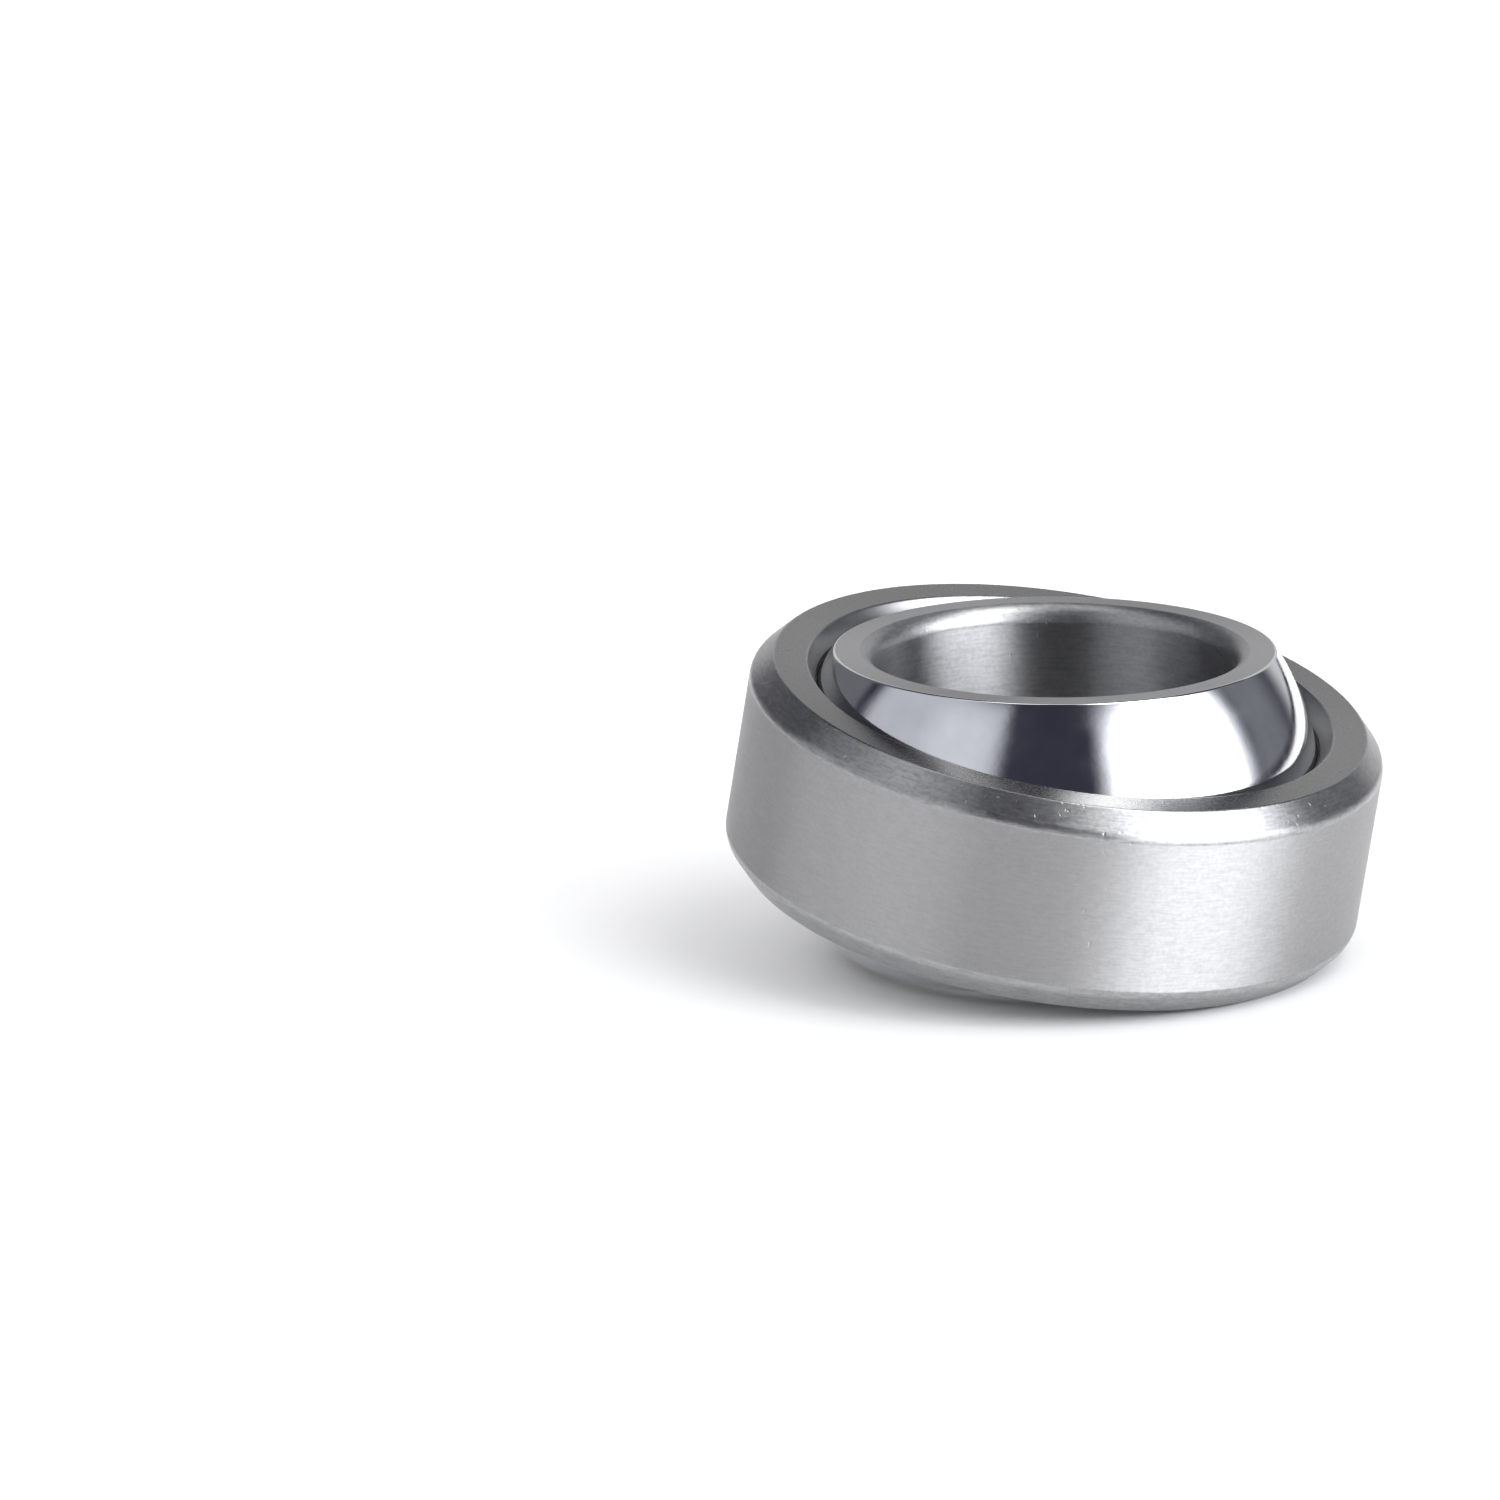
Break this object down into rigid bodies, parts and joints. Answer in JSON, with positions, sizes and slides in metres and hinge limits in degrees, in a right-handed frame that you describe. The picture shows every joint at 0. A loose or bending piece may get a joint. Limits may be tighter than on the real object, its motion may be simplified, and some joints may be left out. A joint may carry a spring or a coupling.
{
  "type": "radial spherical plain bearing",
  "caption": "Radial spherical plain bearing: a polished ball ring turns and tilts in a plain steel outer ring on a thin dry liner.",
  "frame": {"origin": "centre of the sphere, which is also the middle of the inner ring's bore", "axes": "+Z along the inner ring's bore, up as the bearing lies; the outer ring and its liner lean 10.7 degrees from +Z towards +X, about +Y"},
  "size_m": [0.0308, 0.03, 0.015],
  "materials": {
    "outer_steel": "satin ground bearing steel",
    "liner": "dark self-lubricating composite",
    "chromed_ball": "hard-chromed and polished sphere, fine-turned faces and bore"
  },
  "bodies": {
    "outer": {"outer_ring": "outer_steel"},
    "liner": {"sliding_liner": "liner"},
    "inner": {"inner_ring": "chromed_ball"}
  },
  "joints": [
    {"name": "swivel", "type": "hinge", "parent": "outer", "child": "liner", "pos_m": [0, 0, 0], "axis": [0.1857, 0, 0.9826], "continuous": true},
    {"name": "tilt", "type": "hinge", "parent": "liner", "child": "inner", "pos_m": [0, 0, 0], "axis": [0, 1, 0], "range_deg": [-5.3, 26.7]}
  ]
}
